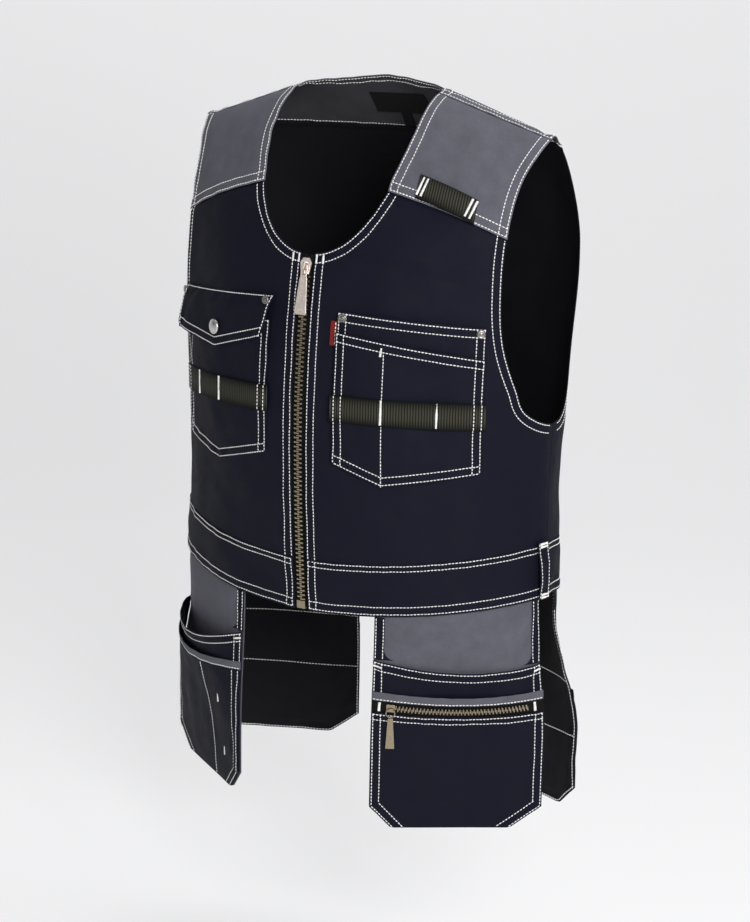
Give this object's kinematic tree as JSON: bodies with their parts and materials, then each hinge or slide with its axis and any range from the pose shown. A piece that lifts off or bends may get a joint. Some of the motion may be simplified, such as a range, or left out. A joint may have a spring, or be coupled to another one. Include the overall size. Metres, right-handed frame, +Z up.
{
  "type": "utility work vest",
  "caption": "Sleeveless work vest with a front zip, contrast yokes, chest pockets and holster pockets hanging below the waistband.",
  "frame": {"origin": "midway between the shoulders, on the vertical middle plane, at the height where the middle of each shoulder rests on the wearer", "axes": "+Z up, the front faces -Y and the wearer's left is +X"},
  "size_m": [0.5266, 0.2839, 0.84],
  "materials": {
    "navy_cloth": "navy cotton twill with a soft sheen",
    "grey_cloth": "mid-grey cotton twill",
    "webbing": "black ribbed webbing",
    "zip_tape": "black woven zip tape",
    "label": "plain black woven label",
    "side_tab": "plain dark red woven tab",
    "antique_brass": "antique brass, worn on the edges",
    "nickel": "warm nickel plating"
  },
  "bodies": {
    "vest": {"back_panel": "navy_cloth", "back_yoke": "grey_cloth", "belt_loop_left": "navy_cloth", "belt_loop_right": "navy_cloth", "chest_pocket_flap": "navy_cloth", "chest_pocket_left_inner": "navy_cloth", "chest_pocket_left_outer": "navy_cloth", "chest_pocket_right": "navy_cloth", "chest_rivet_left_inner": "nickel", "chest_rivet_left_outer": "nickel", "chest_webbing_left": "webbing", "chest_webbing_right": "webbing", "flap_rivet_inner": "nickel", "flap_rivet_outer": "nickel", "flap_snap": "nickel", "front_panel_left": "navy_cloth", "front_panel_right": "navy_cloth", "front_yoke_left": "grey_cloth", "front_yoke_right": "grey_cloth", "holster_back_panel_left": "navy_cloth", "holster_back_panel_right": "navy_cloth", "holster_back_pouch_left": "navy_cloth", "holster_back_pouch_right": "navy_cloth", "holster_front_left_band_inner": "navy_cloth", "holster_front_left_band_outer": "navy_cloth", "holster_front_left_binding": "grey_cloth", "holster_front_left_lower_pouch": "navy_cloth", "holster_front_left_panel": "grey_cloth", "holster_front_left_upper_pouch": "navy_cloth", "holster_front_left_zip_pull": "antique_brass", "holster_front_left_zip_ring": "antique_brass", "holster_front_left_zip_slider": "antique_brass", "holster_front_left_zip_tape": "zip_tape", "holster_front_left_zip_teeth_lower": "antique_brass", "holster_front_left_zip_teeth_upper": "antique_brass", "holster_front_right_band_inner": "navy_cloth", "holster_front_right_band_outer": "navy_cloth", "holster_front_right_binding": "grey_cloth", "holster_front_right_lower_pouch": "navy_cloth", "holster_front_right_panel": "grey_cloth", "holster_front_right_upper_pouch": "navy_cloth", "neck_label": "label", "shoulder_webbing": "webbing", "side_tab": "side_tab", "size_tab": "label", "waistband_back": "navy_cloth", "waistband_front_left": "navy_cloth", "waistband_front_right": "navy_cloth", "zip_retainer_box": "antique_brass", "zip_slider": "antique_brass", "zip_tape_left": "zip_tape", "zip_tape_right": "zip_tape", "zip_teeth_left": "antique_brass", "zip_teeth_right": "antique_brass"},
    "pull": {"zip_pull": "nickel"}
  },
  "joints": [
    {"name": "zip_pull_hinge", "type": "hinge", "parent": "vest", "child": "pull", "pos_m": [0, -0.14312, -0.16478], "axis": [-1, 0, 0], "range_deg": [0, 160]}
  ]
}
